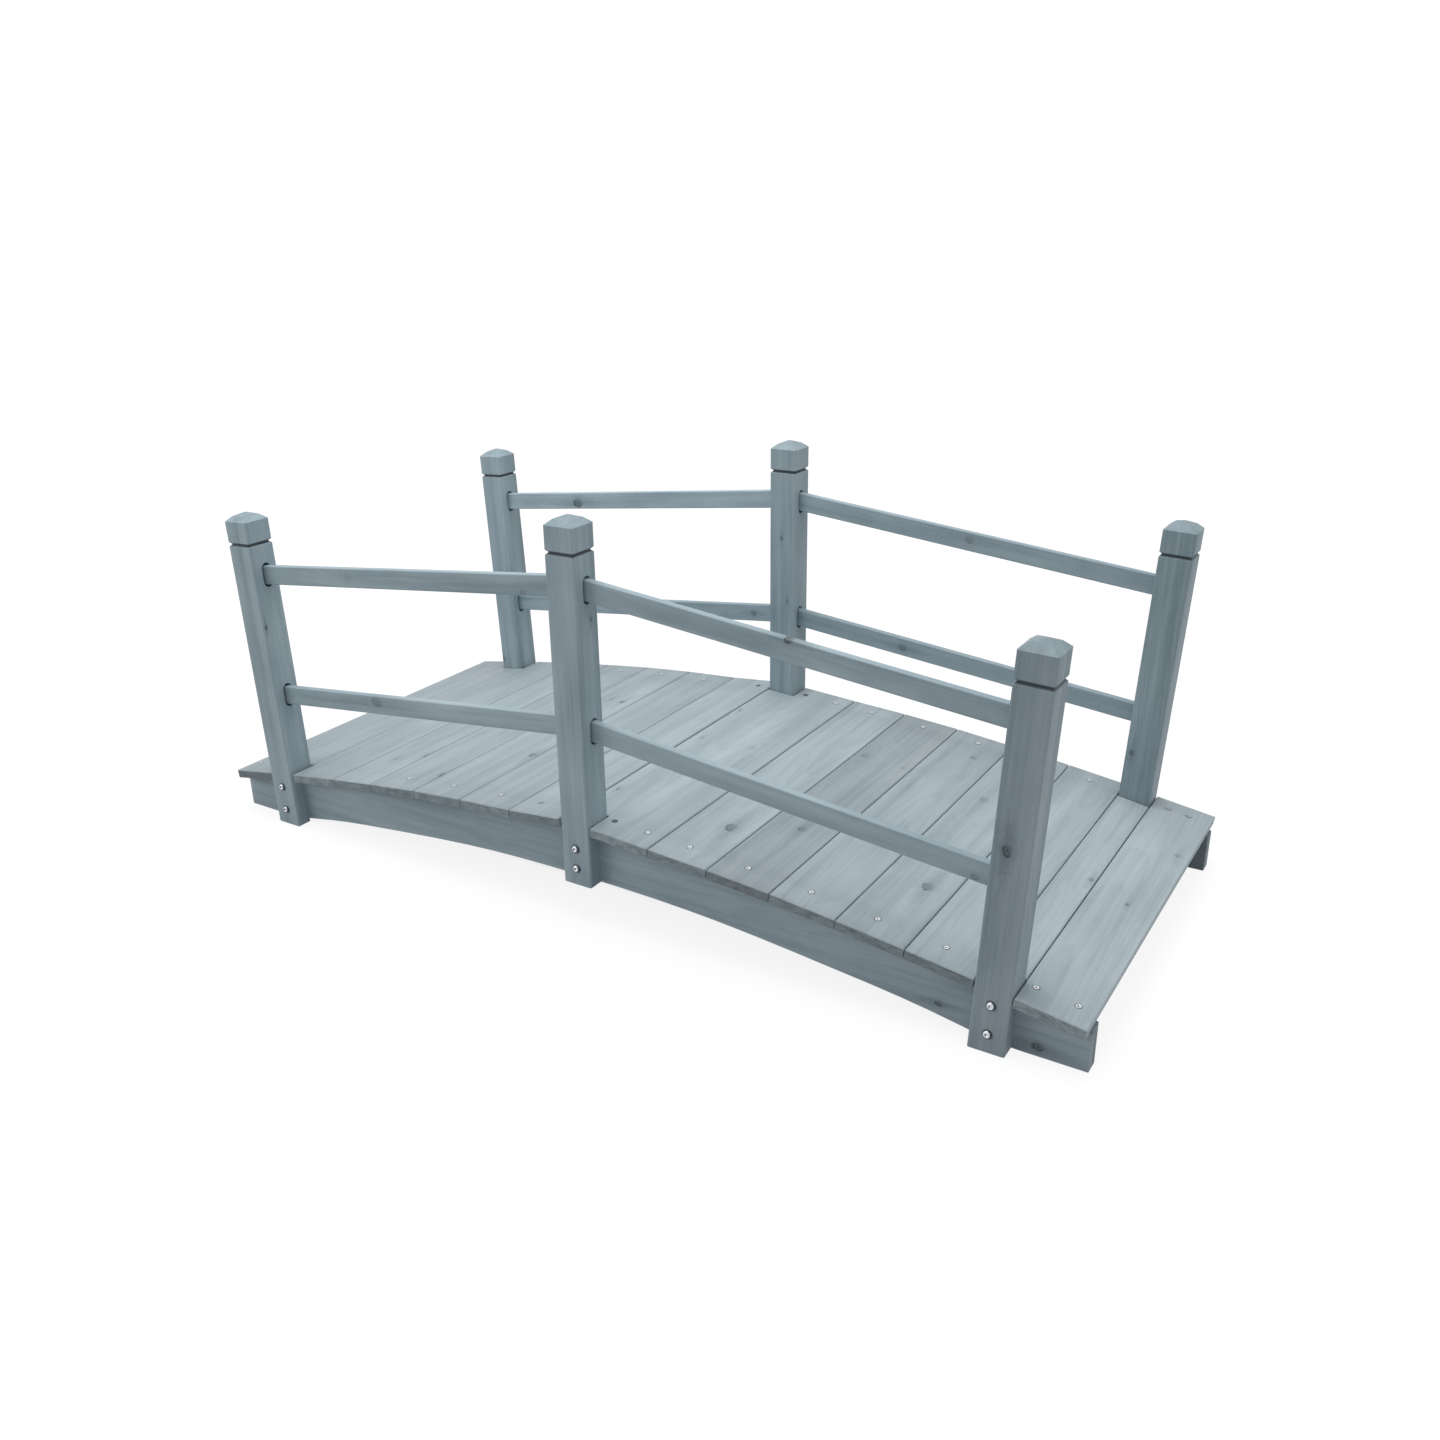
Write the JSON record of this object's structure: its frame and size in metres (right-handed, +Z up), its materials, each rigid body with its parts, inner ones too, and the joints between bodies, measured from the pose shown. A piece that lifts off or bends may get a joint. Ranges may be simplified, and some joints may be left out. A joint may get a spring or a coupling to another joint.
{
  "type": "arched garden bridge",
  "caption": "Small arched wooden garden bridge with plank walk, six capped posts and two rails on each side.",
  "frame": {"origin": "on the ground, under the middle of the walk", "axes": "+X along the walk, +Y across it towards the far rail, +Z up"},
  "size_m": [1.5, 0.664, 0.6045],
  "materials": {
    "board_wood": "matt blue-grey stain",
    "post_wood": "matt blue-grey stain",
    "rail_wood": "matt blue-grey stain",
    "beam_wood": "matt blue-grey stain"
  },
  "bodies": {
    "root": {"near_beam": "beam_wood", "far_beam": "beam_wood", "near_left_post": "post_wood", "near_middle_post": "post_wood", "near_right_post": "post_wood", "far_left_post": "post_wood", "far_middle_post": "post_wood", "far_right_post": "post_wood", "near_left_upper_rail": "rail_wood", "near_left_lower_rail": "rail_wood", "near_right_upper_rail": "rail_wood", "near_right_lower_rail": "rail_wood", "far_left_upper_rail": "rail_wood", "far_left_lower_rail": "rail_wood", "far_right_upper_rail": "rail_wood", "far_right_lower_rail": "rail_wood", "board_01": "board_wood", "board_02": "board_wood", "board_03": "board_wood", "board_04": "board_wood", "board_05": "board_wood", "board_06": "board_wood", "board_07": "board_wood", "board_08": "board_wood", "board_09": "board_wood", "board_10": "board_wood", "board_11": "board_wood", "board_12": "board_wood", "board_13": "board_wood", "board_14": "board_wood", "board_15": "board_wood"}
  },
  "joints": []
}
